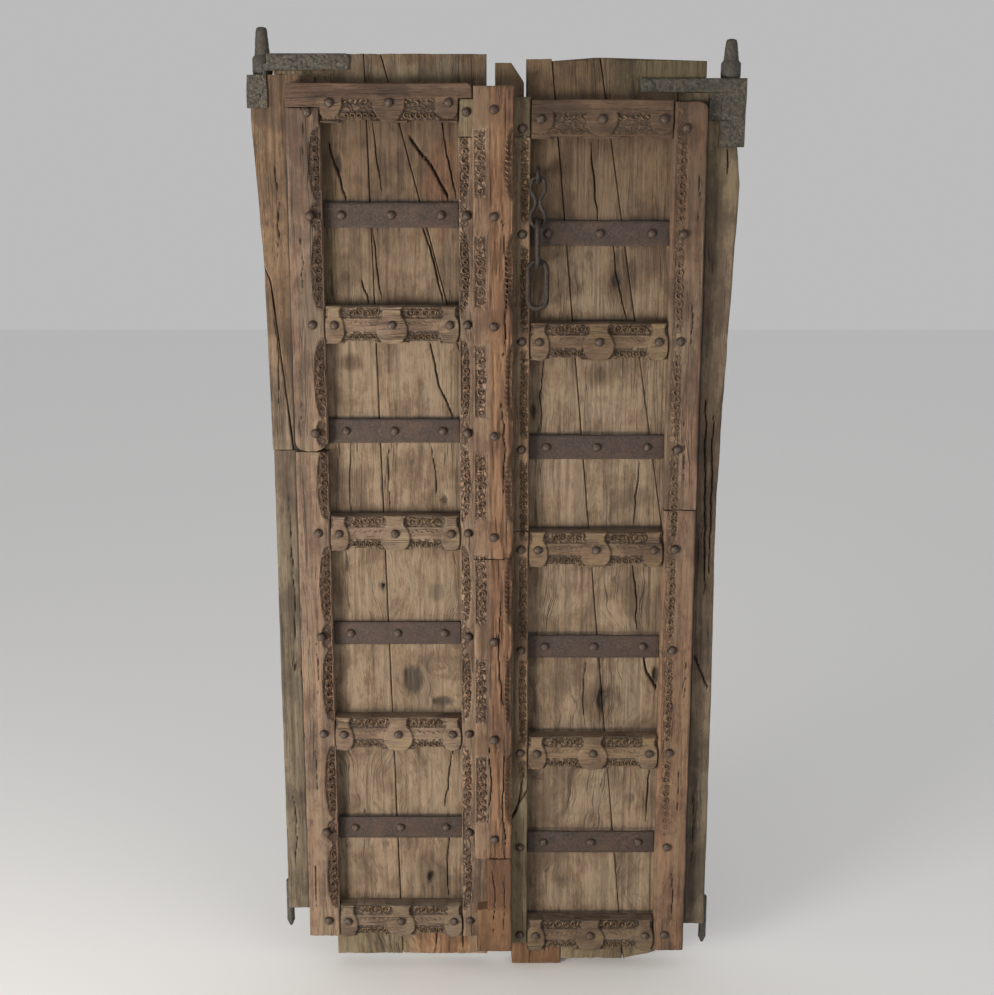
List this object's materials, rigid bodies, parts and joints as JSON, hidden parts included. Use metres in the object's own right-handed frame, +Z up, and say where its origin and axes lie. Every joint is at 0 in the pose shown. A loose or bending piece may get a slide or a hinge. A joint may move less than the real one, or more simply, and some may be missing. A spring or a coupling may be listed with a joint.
{
  "type": "double-leaf plank door",
  "caption": "Pair of old wooden plank door leaves with carved rails and stiles, domed iron studs, iron straps, a cover batten, a hanging chain and iron pivot pins.",
  "frame": {"origin": "on the lowest level of the closed pair, below the middle of its overall box", "axes": "+X along the doorway to the right as seen from the carved front, -Y towards the viewer of the carved front, +Z up"},
  "size_m": [1.01, 0.12, 2.072],
  "materials": {
    "wood_boards": "weathered, dry",
    "wood_frame": "weathered, worn carving",
    "wood_pivot": "weathered, split",
    "wood_batten": "rough, worn",
    "wood_new": "sawn, newer",
    "strap_iron": "dark, rusted",
    "stud_iron": "dark, worn",
    "dark_iron": "dark, corroded",
    "chain_iron": "dark, worn"
  },
  "bodies": {
    "left_leaf": {"left_pivot_board": "wood_pivot", "left_pivot_slip": "wood_pivot", "left_pivot_board_lower": "wood_pivot", "left_board_outer": "wood_boards", "left_board_middle": "wood_boards", "left_board_wedge": "wood_boards", "left_hinge_stile_upper": "wood_frame", "left_hinge_stile_lower": "wood_frame", "left_meeting_stile_top": "wood_frame", "left_meeting_stile": "wood_frame", "left_top_rail": "wood_frame", "left_rail_1": "wood_frame", "left_rail_2": "wood_frame", "left_rail_3": "wood_frame", "left_bottom_rail": "wood_frame", "left_strap_1": "strap_iron", "left_strap_2": "strap_iron", "left_strap_3": "strap_iron", "left_strap_4": "strap_iron", "batten_upper": "wood_batten", "batten_lower": "wood_batten", "batten_repair": "wood_new", "left_top_pin": "dark_iron", "left_foot_pin": "dark_iron", "left_corner_iron": "dark_iron", "left_frame_studs": "stud_iron", "left_strap_studs": "stud_iron", "batten_studs": "stud_iron", "left_iron_nails": "dark_iron"},
    "right_leaf": {"right_pivot_post": "wood_pivot", "right_board_edge": "wood_boards", "right_board_inner": "wood_boards", "right_board_middle": "wood_boards", "right_board_outer": "wood_boards", "right_board_repair": "wood_new", "right_hinge_stile_upper": "wood_frame", "right_hinge_stile_lower": "wood_frame", "right_meeting_stile_top": "wood_frame", "right_meeting_stile_upper": "wood_frame", "right_meeting_stile_lower": "wood_frame", "right_meeting_stile_foot": "wood_frame", "right_top_rail": "wood_frame", "right_rail_1": "wood_frame", "right_rail_2": "wood_frame", "right_rail_3": "wood_frame", "right_bottom_rail": "wood_frame", "right_strap_1": "strap_iron", "right_strap_2": "strap_iron", "right_strap_3": "strap_iron", "right_strap_4": "strap_iron", "right_top_pin": "dark_iron", "right_foot_pin": "dark_iron", "right_corner_iron": "dark_iron", "right_frame_studs": "stud_iron", "right_strap_studs": "stud_iron", "right_iron_nails": "dark_iron", "chain_staple": "chain_iron"},
    "chain_link": {"chain_link": "chain_iron"},
    "chain_long_link": {"chain_long_link": "chain_iron"},
    "chain_ring": {"chain_ring": "chain_iron"}
  },
  "joints": [
    {"name": "right_leaf_swing", "type": "hinge", "parent": "left_leaf", "child": "right_leaf", "pos_m": [0.474, 0.038, 1], "axis": [0, 0, -1], "range_deg": [0, 100]},
    {"name": "link_swing", "type": "hinge", "parent": "right_leaf", "child": "chain_link", "pos_m": [0.083, -0.027, 1.7779], "axis": [-1, 0, 0], "range_deg": [0, 110]},
    {"name": "long_link_swing", "type": "hinge", "parent": "chain_link", "child": "chain_long_link", "pos_m": [0.083, -0.027, 1.6908], "axis": [0, -1, 0], "range_deg": [-5, 40]},
    {"name": "ring_swing", "type": "hinge", "parent": "chain_long_link", "child": "chain_ring", "pos_m": [0.083, -0.027, 1.6102], "axis": [-1, 0, 0], "range_deg": [0, 110]}
  ]
}
